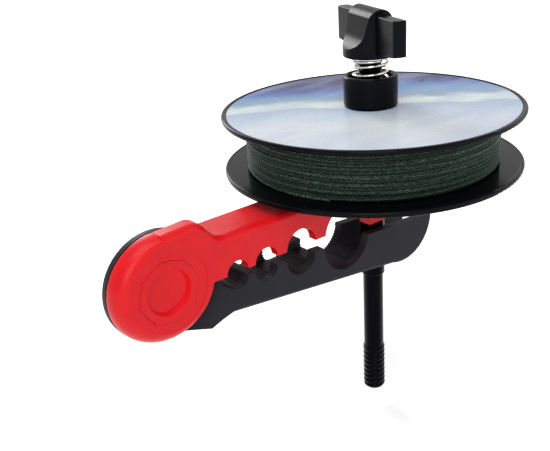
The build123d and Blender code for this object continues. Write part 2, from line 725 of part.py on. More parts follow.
# ---- drag spring and knob ----
def drag_spring():
    """The drag spring, closer wound in its first and last turns."""
    foot = SPRING_FOOT + SPRING_WIRE / 2
    top = THRUST_WASHER_FOOT - SPRING_WIRE / 2
    middle_pitch = (top - foot - 2 * SPRING_END_PITCH) / SPRING_MIDDLE_TURNS
    middle = int(SPRING_MIDDLE_TURNS * 4)
    pitches = [SPRING_END_PITCH] * 4 + [middle_pitch] * middle + [SPRING_END_PITCH] * 4
    heights = [foot]
    for pitch in pitches:
        heights.append(heights[-1] + pitch / 4)
    winding, gap = coil(SPRING_RADIUS - SPRING_WIRE / 2, heights, SPRING_WIRE / 2)
    print("drag spring, least gap to itself:", round(gap, 2), "mm")
    return Rot(0, 0, SPRING_START) * winding


def thrust_washer():
    return ring_z(THRUST_WASHER_RADIUS, THREAD_RADIUS + FREE_GAP, THRUST_WASHER_FOOT, KNOB_BASE - RUNNING_GAP)


def knob_section():
    """Section across the ridge: a round base scooped in to a ridge with a round top."""
    half = KNOB_RIDGE_HALF
    foot = KNOB_SCOOP_FOOT
    top = KNOB_RIDGE_TOP
    reach = KNOB_RADIUS + CUT_PAST / 2
    lip = (reach, foot)
    waist = (half, foot + KNOB_WAIST_RISE)
    shoulder = (half - KNOB_SHOULDER[0], top - KNOB_SHOULDER[1])
    bowl = ThreePointArc(lip, (half + KNOB_BOWL_MIDDLE[0], foot + KNOB_BOWL_MIDDLE[1]), waist)
    crest = ThreePointArc(shoulder, (half - KNOB_CREST_MIDDLE[0], top - KNOB_CREST_MIDDLE[1]), (0, top))
    right = [Line((reach, KNOB_BASE), lip), bowl, Line(waist, shoulder), crest]
    left = [mirror(edge, about=Plane.YZ) for edge in right]
    base = Line((-reach, KNOB_BASE), (reach, KNOB_BASE))
    edges = [base]
    for part in right + left:
        edges += part.edges()
    return make_face(edges)


def knob_wings():
    """The two wings in one blade, a little thicker at the ends and lower at the root."""
    outer = WING_THICK / 2
    inner = outer - WING_TAPER
    plan = make_face(
        Polyline(
            (WING_REACH, -outer),
            (WING_REACH, outer),
            (0, inner),
            (-WING_REACH, outer),
            (-WING_REACH, -outer),
            (0, -inner),
            close=True,
        )
    )
    tips = plan.vertices().filter_by(lambda v: abs(v.X) > WING_REACH - SINK)
    root = WING_FOOT - WING_ROOT_DROP
    blade = extrude(Plane.XY.offset(root) * fillet(tips, WING_TIP_ROUNDING), amount=WING_TOP - root)
    side = Polyline(
        (-WING_REACH, WING_FOOT),
        (-KNOB_RADIUS, root),
        (KNOB_RADIUS, root),
        (WING_REACH, WING_FOOT),
        (WING_REACH, WING_TOP),
        (-WING_REACH, WING_TOP),
        close=True,
    )
    blade &= slab(make_face(side), -WING_THICK, WING_THICK)
    return fillet(blade.edges().group_by(Axis.Z)[-1], WING_EDGE)


def wing_knob():
    half_length = KNOB_RADIUS + CUT_PAST
    ridge = extrude(Plane.YZ.offset(-half_length) * knob_section(), amount=2 * half_length)
    barrel = disc_z(KNOB_RADIUS, KNOB_BASE, KNOB_RIDGE_TOP + CUT_PAST)
    barrel = fillet(barrel.edges().group_by(Axis.Z)[0], KNOB_EDGE)
    body = (ridge & barrel) + knob_wings()
    body -= disc_z(INSERT_RADIUS + SEATED_GAP, KNOB_BASE - CUT_PAST, KNOB_BASE + INSERT_LENGTH)
    body -= disc_z(THREAD_RADIUS + FREE_GAP, KNOB_BASE, SPINDLE_TOP + KNOB_DRAW + CUT_PAST)
    return Rot(0, 0, KNOB_AZIMUTH) * body


def knob_insert():
    """The threaded brass insert, with a groove that keys it in the knob."""
    outer = INSERT_RADIUS
    inner = THREAD_RADIUS + RUNNING_GAP
    foot = KNOB_BASE
    top = foot + INSERT_LENGTH - SEATED_GAP
    middle = (foot + top) / 2
    half = INSERT_GROOVE_WIDTH / 2
    root = outer - INSERT_GROOVE_DEPTH
    points = (
        (inner, foot),
        (outer, foot),
        (outer, middle - half),
        (root, middle - half),
        (root, middle + half),
        (outer, middle + half),
        (outer, top),
        (inner, top),
    )
    return turned(points)


# ---- the whole winder ----
def winder():
    return {
        "upper_jaw": upper_jaw(),
        "lower_jaw": about_hub(lower_jaw(), DROOP),
        "hub_cap": hub_cap(),
        "hub_rear_cap": about_hub(hub_rear_cap(), DROOP),
        "hinge_pin": hinge_pin(),
        "hinge_nut": hinge_nut(),
        "hinge_washer": hinge_washer(),
        "torsion_spring": torsion_spring(),
        "spindle": spindle(),
        "spindle_sleeve": spindle_sleeve(),
        "roll_pin": roll_pin(),
        "lower_seat": lower_seat(),
        "seat_washer": seat_washer(),
        "spool_lower_flange": spool_lower_flange(),
        "spool_upper_flange": spool_upper_flange(),
        "spool_label": spool_label(),
        "line_core": line_core(),
        "line_winding": line_winding(),
        "pressure_cup": pressure_cup(),
        "drag_spring": drag_spring(),
        "thrust_washer": thrust_washer(),
        "wing_knob": wing_knob(),
        "knob_insert": knob_insert(),
    }


os.makedirs("parts", exist_ok=True)
for name, solid in winder().items():
    export_step(solid, f"parts/{name}.step")
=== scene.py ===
# A clip-on line winder: two toothed jaws on a hinge, a threaded spindle, a spool of
# braided line, and a sprung cup under a wing knob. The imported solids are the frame.
# Metres. +X along the jaws to their free end, +Z up the spindle.

import math

import bpy
from mathutils import Matrix, Vector


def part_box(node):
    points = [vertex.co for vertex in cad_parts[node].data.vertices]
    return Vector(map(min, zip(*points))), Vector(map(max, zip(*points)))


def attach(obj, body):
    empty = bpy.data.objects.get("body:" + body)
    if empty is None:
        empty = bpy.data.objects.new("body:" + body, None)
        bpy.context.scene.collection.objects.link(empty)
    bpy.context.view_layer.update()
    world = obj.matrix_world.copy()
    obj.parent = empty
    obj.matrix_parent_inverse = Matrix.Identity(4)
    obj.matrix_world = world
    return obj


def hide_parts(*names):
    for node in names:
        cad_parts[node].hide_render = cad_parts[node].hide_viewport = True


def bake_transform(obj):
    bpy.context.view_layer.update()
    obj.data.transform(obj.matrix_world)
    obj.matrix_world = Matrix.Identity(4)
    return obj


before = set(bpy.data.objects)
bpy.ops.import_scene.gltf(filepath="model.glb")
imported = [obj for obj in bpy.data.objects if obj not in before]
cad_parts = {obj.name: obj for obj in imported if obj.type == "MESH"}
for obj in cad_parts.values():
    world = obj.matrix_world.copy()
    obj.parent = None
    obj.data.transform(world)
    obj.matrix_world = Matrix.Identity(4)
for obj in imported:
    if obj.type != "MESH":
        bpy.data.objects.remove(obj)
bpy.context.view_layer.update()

bl_info = {
    "name": "Line winder",
    "version": (1, 0, 0),
    "blender": (4, 5, 0),
    "location": "View3D > Sidebar > Line winder",
    "description": "Dresses the packed line winder and sets its stage",
    "category": "Object",
}

MM = 0.001

# ---- places read from the frame ----
CORE_LOW, CORE_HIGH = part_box("line_core")
SPINDLE_LOW, SPINDLE_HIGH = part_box("spindle")
LINE_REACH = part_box("line_winding")[1][0]

# ---- the wound line ----
DRUM_RADIUS = 30 * MM
DRUM_GAP = 0.02 * MM
CORE_EDGE = 0.4 * MM
CORE_SINK = 0.8
CORE_SIDES = 160
ROW_GAP = 1.02
ROWS_PER_CROSSING = 3
PACKED_SINK = 1.35
ROUTE_STEPS = 120
STRAND_SIDES = 7
# Weight, rate and start of the waves that move a turn along the spool, and in and out.
SWAY_WAVES = ((1.0, 0.37, 1.1), (0.6, 1.61, 0.0), (0.4, 2.83, 0.5))
LIFT_WAVES = ((1.0, 0.71, 0.4), (0.5, 3.19, 0.0))
SWAY_SHARE = 0.6
LIFT_SHARE = 0.5
PLAIT_LENGTH = 1.3 * MM
PLAIT_SLANT = 4.5

# ---- the spindle ----
SHANK_STEP = 0.4 * MM
END_CHAMFER = 0.8 * MM
LOWER_THREAD = 18 * MM
UPPER_THREAD_START = 6 * MM
THREAD_MARGIN = 1 * MM
THREAD_RUN_OUT = 1.5 * MM
THREAD_FLAT = 0.22
ROOT_SINK = 0.05 * MM
ROWS_PER_PITCH = 14
SHANK_ROW = 4 * MM
SPINDLE_SIDES = 56

# ---- material patterns ----
NOISE_BAND = {"From Min": 0.3, "From Max": 0.7}
NOISE_ROUGHNESS = 0.55
FIRST_COLOUR = 6
SECOND_COLOUR = 7
FLOW_MARKS = 9 * MM
LABEL_TURN = math.radians(-51)
LABEL_SPAN = 48 * MM

# ---- label bands from its near side to its far side ----
LABEL_BANDS = (
    (0.00, "#D6DDE6"),
    (0.24, "#DDE2E8"),
    (0.38, "#C9D6E2"),
    (0.47, "#B4C2D6"),
    (0.50, "#E3ECE2"),
    (0.56, "#DDE9E6"),
    (0.61, "#93A8BC"),
    (0.68, "#6F9AC8"),
    (0.79, "#48549E"),
    (0.90, "#2F2A60"),
)

# ---- lamps: name, place, width and height in metres, power in watts, tint ----
LAMP_AIM = (-0.03, 0.0, -0.01)
LAMPS = (
    ("overhead_softbox", (-0.25, -0.1, 1.1), (0.9, 0.9), 7.5, "#FFFFFF"),
    ("front_softbox", (-0.75, -0.75, 0.5), (0.6, 0.8), 5.0, "#FFFFFF"),
    ("back_left_softbox", (0.12, 0.8, 0.36), (0.3, 0.3), 3.0, "#FFFFFF"),
    ("right_fill", (0.35, -0.9, 0.3), (0.7, 0.7), 1.5, "#F5F8FF"),
)
WORLD_TINT = "#EEF1F6"
WORLD_STRENGTH = 0.16
FLOOR_SIDE = 3.0
FLOOR_NEAR = 0.1
FLOOR_FAR = 0.5
FLOOR_GLOW = 0.55

# ---- camera, solved from the spool's rims and the spindle ----
CAMERA_PLACE = (-181.1 * MM, -174.9 * MM, 86.3 * MM)
CAMERA_AIM = (-27.12 * MM, 21.29 * MM, -21.26 * MM)
CAMERA_ROLL = math.radians(-3.875)
CAMERA_LENS = 50.28
CAMERA_SENSOR = 36.0


def linear(hex_text):
    """An sRGB hex colour as linear red, green, blue and alpha."""
    channels = [int(hex_text[i : i + 2], 16) / 255 for i in (1, 3, 5)]
    curve = [c / 12.92 if c <= 0.04045 else ((c + 0.055) / 1.055) ** 2.4 for c in channels]
    return (*curve, 1.0)


# ---- sizes and colours a user can change ----
def colour_property(name, hex_text, description):
    return bpy.props.FloatVectorProperty(
        name=name,
        description=description,
        subtype="COLOR",
        size=4,
        min=0.0,
        max=1.0,
        default=linear(hex_text),
    )


def length_property(name, default, description):
    return bpy.props.FloatProperty(
        name=name,
        description=description,
        default=default,
        min=0.0,
        unit="LENGTH",
        subtype="DISTANCE",
        precision=5,
    )


class LineWinderColours(bpy.types.PropertyGroup):
    jaw_red: colour_property("Jaw red", "#E6161F", "Moulded red of the upper jaw and its hub cap")
    jaw_black: colour_property("Jaw black", "#26262B", "Textured black of the lower jaw")
    spool_black: colour_property("Spool black", "#06070A", "Polished black of the flanges")
    fitting_black: colour_property("Fitting black", "#08090D", "Satin black of the knob and cup")
    spindle_black: colour_property("Spindle black", "#0B0B10", "Blackened steel of the spindle")
    braid_dark: colour_property("Braid shade", "#0A1A12", "Shaded side of the braided line")
    braid_light: colour_property("Braid light", "#7E9C8A", "Lit fibres of the braided line")
    spring_steel: colour_property("Spring steel", "#D6D4CE", "Bright drawn wire of the springs")
    label_paper: colour_property("Label ground", "#E4E8EE", "Pale ground of the printed label")
    label_sky: colour_property("Label haze", "#A9BBDD", "Pale blue haze across the label")
    label_hill: colour_property("Label hills", "#35305F", "Violet shapes at the label's far side")


class LineWinderSizes(bpy.types.PropertyGroup):
    # The real line is finer, and is drawn coarse enough for its turns to show.
    strand: length_property("Line diameter", 0.8 * MM, "Diameter of the braided line")
    strand_wander: length_property("Line wander", 0.22 * MM, "How far a turn wanders from its row")
    thread_pitch: length_property("Thread pitch", 2.0 * MM, "Pitch of the spindle's threads")
    thread_depth: length_property("Thread depth", 0.45 * MM, "Depth of the spindle's threads")
    floor_drop: length_property("Floor drop", 6.0 * MM, "Distance from the spindle to the floor")


# ---- material helpers ----
def add(tree, kind, inputs=None, **settings):
    """Adds a node. Its inputs take values, sockets, or nodes by their first output in use."""
    made = tree.nodes.new(kind)
    for name, value in settings.items():
        setattr(made, name, value)
    for name, value in (inputs or {}).items():
        if isinstance(value, bpy.types.Node):
            value = next(socket for socket in value.outputs if socket.enabled)
        if isinstance(value, bpy.types.NodeSocket):
            tree.links.new(value, made.inputs[name])
        else:
            made.inputs[name].default_value = value
    return made


def new_material(name):
    """An empty node material and its tree."""
    material = bpy.data.materials.new(name)
    material.use_nodes = True
    material.node_tree.nodes.clear()
    return material, material.node_tree


def grain(tree, size, detail=2.0, stretch=(1.0, 1.0, 1.0)):
    """A noise pattern in the object's own space, with features of a real size in metres."""
    place = add(tree, "ShaderNodeTexCoord").outputs["Object"]
    inputs = {
        "Vector": add(tree, "ShaderNodeMapping", {"Vector": place, "Scale": stretch}),
        "Scale": 1.0 / size,
        "Detail": detail,
        "Roughness": NOISE_ROUGHNESS,
    }
    return add(tree, "ShaderNodeTexNoise", inputs)


def shade(colour, factor):
    return (colour[0] * factor, colour[1] * factor, colour[2] * factor, 1.0)


# ---- materials ----
def moulded_plastic(name, colour, roughness, texture, depth, variation=0.1, gleam=0.5):
    """Injection-moulded plastic: even colour, and a fine tool texture that softens highlights."""
    material, tree = new_material(name)
    flow = add(tree, "ShaderNodeMapRange", {"Value": grain(tree, FLOW_MARKS, 3.0), **NOISE_BAND})
    colours = {FIRST_COLOUR: shade(colour, 1 - variation), SECOND_COLOUR: shade(colour, 1 + variation)}
    tone = add(tree, "ShaderNodeMix", {"Factor": flow, **colours}, data_type="RGBA")
    speckle = grain(tree, texture)
    polish = {"To Min": roughness * 0.85, "To Max": roughness * 1.2}
    sheen = add(tree, "ShaderNodeMapRange", {"Value": speckle, **NOISE_BAND, **polish})
    bump = add(tree, "ShaderNodeBump", {"Strength": 0.15, "Distance": depth, "Height": speckle})
    inputs = {"Base Color": tone, "Roughness": sheen, "Specular IOR Level": gleam, "Normal": bump}
    shader = add(tree, "ShaderNodeBsdfPrincipled", inputs)
    add(tree, "ShaderNodeOutputMaterial", {"Surface": shader})
    return material


def drawn_metal(name, colour, roughness, line_size, stretch):
    """Bare or plated metal: fine lines left by drawing or turning stretch its highlights."""
    material, tree = new_material(name)
    lines = grain(tree, line_size, 2.0, stretch)
    colours = {FIRST_COLOUR: shade(colour, 0.9), SECOND_COLOUR: shade(colour, 1.05)}
    tone = add(tree, "ShaderNodeMix", {"Factor": lines, **colours}, data_type="RGBA")
    levels = {"To Min": roughness * 0.75, "To Max": roughness * 1.3}
    polish = add(tree, "ShaderNodeMapRange", {"Value": lines, **NOISE_BAND, **levels})
    bump = add(tree, "ShaderNodeBump", {"Strength": 0.12, "Distance": 0.02 * MM, "Height": lines})
    inputs = {"Base Color": tone, "Metallic": 1.0, "Roughness": polish, "Normal": bump}
    shader = add(tree, "ShaderNodeBsdfPrincipled", inputs)
    add(tree, "ShaderNodeOutputMaterial", {"Surface": shader})
    return material


def braided_line(colours, reach, strand):
    """Braided polyethylene line: painted shade between its turns and in its slanting plaits' valleys,
    and pale flecks of painted glint.
    """
    # The real plait is finer, and is drawn coarse enough to show.
    material, tree = new_material("braided_polyethylene_line")
    place = add(tree, "ShaderNodeTexCoord").outputs["Object"]
    parts = add(tree, "ShaderNodeSeparateXYZ", {"Vector": place}).outputs
    flat = add(tree, "ShaderNodeCombineXYZ", {"X": parts["X"], "Y": parts["Y"]})
    radius = add(tree, "ShaderNodeVectorMath", {0: flat}, operation="LENGTH")
    # Painted shade: the line darkens towards the spool's axis, into the crevices between its turns.
    depths = {"From Min": reach - 0.9 * strand, "From Max": reach - 0.1 * strand}
    crevice_shade = add(tree, "ShaderNodeMapRange", {"Value": radius, **depths})
    angle = add(tree, "ShaderNodeMath", {0: parts["Y"], 1: parts["X"]}, operation="ARCTAN2")
    plaits = round(2 * math.pi * reach / PLAIT_LENGTH)
    along = add(tree, "ShaderNodeMath", {0: angle, 1: plaits}, operation="MULTIPLY")
    slant = add(tree, "ShaderNodeMath", {0: parts["Z"], 1: PLAIT_SLANT / strand}, operation="MULTIPLY")
    phase = add(tree, "ShaderNodeMath", {0: along, 1: slant}, operation="ADD")
    plait = add(tree, "ShaderNodeMath", {0: phase}, operation="SINE")
    # Painted shade: the plait's valleys, low in its bump, are darkened.
    plait_shade_levels = {"From Min": -0.8, "From Max": 1.0, "To Min": 0.3, "To Max": 1.0}
    plait_shade = add(tree, "ShaderNodeMapRange", {"Value": plait, **plait_shade_levels})
    # Painted glints: pale flecks brighten the fibres here and there, and the rest is darkened.
    fleck_glint_levels = {"From Min": 0.4, "From Max": 0.62, "To Min": 0.15, "To Max": 1.0}
    fleck_glint_noise = grain(tree, 0.55 * MM, 2.0, (0.5, 0.5, 1.6))
    fleck_glints = add(tree, "ShaderNodeMapRange", {"Value": fleck_glint_noise, **fleck_glint_levels})
    stain_levels = {"From Min": 0.35, "From Max": 0.65, "To Min": 0.45, "To Max": 1.0}
    stain_noise = grain(tree, 7 * MM, 3.0, (0.3, 0.3, 3.0))
    stains = add(tree, "ShaderNodeMapRange", {"Value": stain_noise, **stain_levels})
    # Painted shade, painted glints and random stains together set how far the line goes from its dark
    # colour to its light one.
    light = plait_shade
    for layer in (crevice_shade, fleck_glints, stains):
        light = add(tree, "ShaderNodeMath", {0: light, 1: layer}, operation="MULTIPLY")
    ends = {FIRST_COLOUR: colours.braid_dark, SECOND_COLOUR: colours.braid_light}
    tone = add(tree, "ShaderNodeMix", {"Factor": light, **ends}, data_type="RGBA")
    bump = add(tree, "ShaderNodeBump", {"Strength": 0.6, "Distance": 0.1 * MM, "Height": plait})
    inputs = {"Base Color": tone, "Roughness": 0.5, "Specular IOR Level": 0.12, "Normal": bump}
    shader = add(tree, "ShaderNodeBsdfPrincipled", inputs)
    add(tree, "ShaderNodeOutputMaterial", {"Surface": shader})
    return material


def label_bands(tree, across):
    """The label's soft bands, from its near side to its far side."""
    wash = {"Value": grain(tree, 26 * MM, 4.0), **NOISE_BAND, "To Min": -5 * MM, "To Max": 5 * MM}
    shift = add(tree, "ShaderNodeMapRange", wash)
    depth = add(tree, "ShaderNodeMath", {0: across, 1: shift}, operation="ADD")
    span = {"From Min": -LABEL_SPAN, "From Max": LABEL_SPAN}
    share = add(tree, "ShaderNodeMapRange", {"Value": depth, **span})
    ramp = add(tree, "ShaderNodeValToRGB", {"Fac": share})
    elements = ramp.color_ramp.elements
    for position, _ in LABEL_BANDS[2:]:
        elements.new(position)
    for element, (position, hex_text) in zip(elements, LABEL_BANDS):
        element.position = position
        element.color = linear(hex_text)
    return ramp


def printed_label(colours):
    """Laminated paper label: soft bands of violet, blue, pale green and white under a gloss film."""
    material, tree = new_material("laminated_printed_label")
    place = add(tree, "ShaderNodeTexCoord").outputs["Object"]
    turned = add(tree, "ShaderNodeMapping", {"Vector": place, "Rotation": (0, 0, LABEL_TURN)})
    across = add(tree, "ShaderNodeSeparateXYZ", {"Vector": turned}).outputs["X"]
    bands = label_bands(tree, across)
    skyline = {"From Min": 0.35, "From Max": 0.65, "To Min": 26 * MM, "To Max": 44 * MM}
    ridge = add(tree, "ShaderNodeMapRange", {"Value": grain(tree, 12 * MM, 5.0), **skyline})
    beyond = add(tree, "ShaderNodeMath", {0: across, 1: ridge}, operation="SUBTRACT")
    edge = {"From Min": -1 * MM, "From Max": 1 * MM, "To Max": 0.85}
    hills = add(tree, "ShaderNodeMapRange", {"Value": beyond, **edge})
    inputs = {"Factor": hills, FIRST_COLOUR: bands, SECOND_COLOUR: colours.label_hill}
    tone = add(tree, "ShaderNodeMix", inputs, data_type="RGBA")
    cloud = {"From Min": 0.45, "From Max": 0.7, "To Max": 0.45}
    haze_noise = grain(tree, 20 * MM, 3.0, (0.4, 1.6, 1.0))
    haze = add(tree, "ShaderNodeMapRange", {"Value": haze_noise, **cloud})
    inputs = {"Factor": haze, FIRST_COLOUR: tone, SECOND_COLOUR: colours.label_sky}
    tone = add(tree, "ShaderNodeMix", inputs, data_type="RGBA")
    screen = {"From Min": 0.35, "From Max": 0.65, "To Max": 0.03}
    dots = add(tree, "ShaderNodeMapRange", {"Value": grain(tree, 0.35 * MM, 1.0), **screen})
    inputs = {"Factor": dots, FIRST_COLOUR: tone, SECOND_COLOUR: colours.label_paper}
    tone = add(tree, "ShaderNodeMix", inputs, data_type="RGBA")
    orange_peel = grain(tree, 1.2 * MM, 1.0)
    film = {"Strength": 0.03, "Distance": 0.005 * MM, "Height": orange_peel}
    polish = {"Value": orange_peel, **NOISE_BAND, "To Min": 0.22, "To Max": 0.3}
    inputs = {
        "Base Color": tone,
        "Roughness": add(tree, "ShaderNodeMapRange", polish),
        "Specular IOR Level": 0.06,
        "Normal": add(tree, "ShaderNodeBump", film),
    }
    shader = add(tree, "ShaderNodeBsdfPrincipled", inputs)
    add(tree, "ShaderNodeOutputMaterial", {"Surface": shader})
    return material


def soft_rubber(name, colour):
    """Moulded rubber: dark, dull and faintly dusty."""
    material, tree = new_material(name)
    dust = grain(tree, 0.4 * MM, 3.0)
    colours = {FIRST_COLOUR: colour, SECOND_COLOUR: shade(colour, 1.8)}
    tone = add(tree, "ShaderNodeMix", {"Factor": dust, **colours}, data_type="RGBA")
    bump = add(tree, "ShaderNodeBump", {"Strength": 0.2, "Distance": 0.03 * MM, "Height": dust})
    inputs = {"Base Color": tone, "Roughness": 0.75, "Normal": bump}
    shader = add(tree, "ShaderNodeBsdfPrincipled", inputs)
    add(tree, "ShaderNodeOutputMaterial", {"Surface": shader})
    return material


# ---- mesh helpers ----
def finish_node(name, material):
    """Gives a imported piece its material."""
    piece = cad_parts[name]
    piece.data.materials.clear()
    piece.data.materials.append(material)


def make_piece(name, points, faces, material, body, nodes):
    """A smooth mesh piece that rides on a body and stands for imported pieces."""
    mesh = bpy.data.meshes.new(name)
    mesh.from_pydata(points, [], faces)
    mesh.validate()
    mesh.polygons.foreach_set("use_smooth", [True] * len(mesh.polygons))
    piece = bpy.data.objects.new(name, mesh)
    bpy.context.scene.collection.objects.link(piece)
    mesh.materials.append(material)
    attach(piece, body)
    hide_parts(*nodes)
    return piece


def make_copy(name, node, material):
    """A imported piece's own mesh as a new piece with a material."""
    mesh = node.data.copy()
    mesh.transform(node.matrix_world)
    mesh.materials.clear()
    mesh.materials.append(material)
    piece = bpy.data.objects.new(name, mesh)
    bpy.context.scene.collection.objects.link(piece)
    return piece


def tube_faces(rows, sides):
    """Faces of a tube of rows of points, with a cap at each end."""
    faces = []
    for row in range(rows - 1):
        low = row * sides
        for k in range(sides):
            other = (k + 1) % sides
            faces.append((low + k, low + other, low + sides + other, low + sides + k))
    faces.append(tuple(reversed(range(sides))))
    faces.append(tuple((rows - 1) * sides + k for k in range(sides)))
    return faces


def lathe(profile, sides):
    """A closed ring turned about Z from a closed profile of radius and height."""
    points = []
    for k in range(sides):
        angle = 2 * math.pi * k / sides
        points += [(r * math.cos(angle), r * math.sin(angle), z) for r, z in profile]
    count = len(profile)
    faces = []
    for k in range(sides):
        here = k * count
        there = (k + 1) % sides * count
        for i in range(count):
            j = (i + 1) % count
            faces.append((here + i, there + i, there + j, here + j))
    return points, faces


# ---- the wound line's shape ----
def waves(angle, parts):
    return sum(weight * math.sin(angle * rate + start) for weight, rate, start in parts)


def strand_route(radius, start, end, turns, wander):
    """A layer of line, laid turn by turn between two heights, each turn wandering a little."""
    count = int(turns * ROUTE_STEPS)
    route = []
    for i in range(count + 1):
        angle = 2 * math.pi * i / ROUTE_STEPS
        sway = wander * waves(angle, SWAY_WAVES) * SWAY_SHARE
        height = start + (end - start) * i / count + sway
        height = min(max(height, min(start, end)), max(start, end))
        reach = radius - wander * (1.0 + LIFT_SHARE * waves(angle, LIFT_WAVES))
        route.append((Vector((reach * math.cos(angle), reach * math.sin(angle), height)), angle))
    return route


def strand_mesh(route, radius):
    """A tube along a route round the spool."""
    points = []
    for centre, angle in route:
        outward = Vector((math.cos(angle), math.sin(angle), 0))
        for k in range(STRAND_SIDES):
            turn = 2 * math.pi * k / STRAND_SIDES
            offset = outward * math.cos(turn) + Vector((0, 0, 1)) * math.sin(turn)
            points.append(centre + offset * radius)
    return points, tube_faces(len(route), STRAND_SIDES)


def core_profile(outer, low, high):
    """The wound mass under the top layers, its edges a little rounded."""
    return (
        (DRUM_RADIUS + DRUM_GAP, low),
        (outer - CORE_EDGE, low),
        (outer, low + CORE_EDGE),
        (outer, high - CORE_EDGE),
        (outer - CORE_EDGE, high),
        (DRUM_RADIUS + DRUM_GAP, high),
    )


def join_meshes(first, second):
    """Two lists of points and faces as one."""
    points, faces = first
    more_points, more_faces = second
    moved = [tuple(i + len(points) for i in face) for face in more_faces]
    return list(points) + list(more_points), faces + moved


# ---- the spindle's shape ----
def thread_radius(crest, depth, phase):
    """Radius across one pitch of a thread with flat crests and roots."""
    share = abs((phase % 1.0) - 0.5) * 2
    slope = min(max((share - THREAD_FLAT) / (1 - 2 * THREAD_FLAT), 0.0), 1.0)
    return crest - depth * slope


def spindle_rows(sizes):
    """Rows of points up the spindle, with a helical thread at each end."""
    crest = (SPINDLE_HIGH[0] - SPINDLE_LOW[0]) / 2
    shank = crest - SHANK_STEP
    low = SPINDLE_LOW[2]
    high = SPINDLE_HIGH[2]
    lower_end = low + LOWER_THREAD
    upper_start = UPPER_THREAD_START
    heights = [low]
    while heights[-1] < high:
        last = heights[-1]
        threaded = last < lower_end + THREAD_MARGIN or last > upper_start - THREAD_MARGIN
        step = sizes.thread_pitch / ROWS_PER_PITCH if threaded else SHANK_ROW
        heights.append(min(last + step, high))
    points = []
    for height in heights:
        end_gap = min(height - low, high - height)
        for k in range(SPINDLE_SIDES):
            angle = 2 * math.pi * k / SPINDLE_SIDES
            phase = height / sizes.thread_pitch - k / SPINDLE_SIDES
            if lower_end < height < upper_start:
                radius = shank
            else:
                run_out = min(abs(height - lower_end), abs(height - upper_start)) / THREAD_RUN_OUT
                depth = sizes.thread_depth * min(run_out, 1.0)
                radius = max(thread_radius(crest, depth, phase), shank - ROOT_SINK)
            radius = min(radius, crest - max(END_CHAMFER - end_gap, 0.0))
            points.append((radius * math.cos(angle), radius * math.sin(angle), height))
    return points, tube_faces(len(heights), SPINDLE_SIDES)


# ---- the stage ----
def place_camera(scene):
    camera = bpy.data.objects.new("camera", bpy.data.cameras.new("camera"))
    scene.collection.objects.link(camera)
    place = Vector(CAMERA_PLACE)
    towards = Vector(CAMERA_AIM) - place
    facing = towards.to_track_quat("-Z", "Y").to_matrix().to_4x4()
    camera.matrix_world = Matrix.Translation(place) @ facing @ Matrix.Rotation(CAMERA_ROLL, 4, "Z")
    camera.data.sensor_width = CAMERA_SENSOR
    camera.data.lens = CAMERA_LENS
    camera.data.clip_start = 0.01
    scene.camera = camera


def place_light(scene, name, place, size, power, tint):
    light = bpy.data.lights.new(name, "AREA")
    light.shape = "RECTANGLE"
    light.size, light.size_y = size
    light.energy = power
    light.color = linear(tint)[:3]
    lamp = bpy.data.objects.new(name, light)
    scene.collection.objects.link(lamp)
    towards = Vector(LAMP_AIM) - Vector(place)
    facing = towards.to_track_quat("-Z", "Y").to_matrix().to_4x4()
    lamp.matrix_world = Matrix.Translation(Vector(place)) @ facing


def white_for_camera(tree, plain, white):
    """A shader that the camera, mirrors and glass see as the white background."""
    path = add(tree, "ShaderNodeLightPath").outputs
    seen = path["Is Camera Ray"]
    for ray in ("Is Glossy Ray", "Is Transmission Ray"):
        seen = add(tree, "ShaderNodeMath", {0: seen, 1: path[ray]}, operation="MAXIMUM")
    return add(tree, "ShaderNodeMixShader", {0: seen, 1: plain, 2: white})


def set_world(scene):
    """Dim studio air that lights the object, and white behind it."""
    world = bpy.data.worlds.new("studio_air")
    scene.world = world
    world.use_nodes = True
    tree = world.node_tree
    tree.nodes.clear()
    air = {"Color": linear(WORLD_TINT), "Strength": WORLD_STRENGTH}
    plain = add(tree, "ShaderNodeBackground", air)
    white = add(tree, "ShaderNodeBackground", {"Color": (1, 1, 1, 1), "Strength": 1.0})
    add(tree, "ShaderNodeOutputWorld", {"Surface": white_for_camera(tree, plain, white)})


def floor_material():
    """White studio paper, lit from below as well, so that it keeps only a faint shadow."""
    material, tree = new_material("backlit_white_paper")
    colours = {FIRST_COLOUR: linear("#F2F2F2"), SECOND_COLOUR: linear("#FAFAFA")}
    fibre = grain(tree, 1.5 * MM, 3.0)
    tone = add(tree, "ShaderNodeMix", {"Factor": fibre, **colours}, data_type="RGBA")
    paper = add(tree, "ShaderNodeBsdfPrincipled", {"Base Color": tone, "Roughness": 0.9})
    place = add(tree, "ShaderNodeTexCoord").outputs["Object"]
    distance = add(tree, "ShaderNodeVectorMath", {0: place}, operation="LENGTH")
    # Far from the lamps the paper falls off, so its own glow grows there to plain white.
    reach = {"From Min": FLOOR_NEAR, "From Max": FLOOR_FAR, "To Min": FLOOR_GLOW, "To Max": 1.0}
    strength = add(tree, "ShaderNodeMapRange", {"Value": distance, **reach})
    glow = add(tree, "ShaderNodeEmission", {"Color": (1, 1, 1, 1), "Strength": strength})
    backlit = add(tree, "ShaderNodeAddShader", {0: paper, 1: glow})
    shader = white_for_camera(tree, paper, backlit)
    add(tree, "ShaderNodeOutputMaterial", {"Surface": shader})
    return material


def make_floor(scene, height):
    signs = ((-1, -1), (1, -1), (1, 1), (-1, 1))
    corners = [(x * FLOOR_SIDE, y * FLOOR_SIDE, height) for x, y in signs]
    mesh = bpy.data.meshes.new("floor")
    mesh.from_pydata(corners, [], [(0, 1, 2, 3)])
    mesh.materials.append(floor_material())
    floor = bpy.data.objects.new("floor", mesh)
    scene.collection.objects.link(floor)


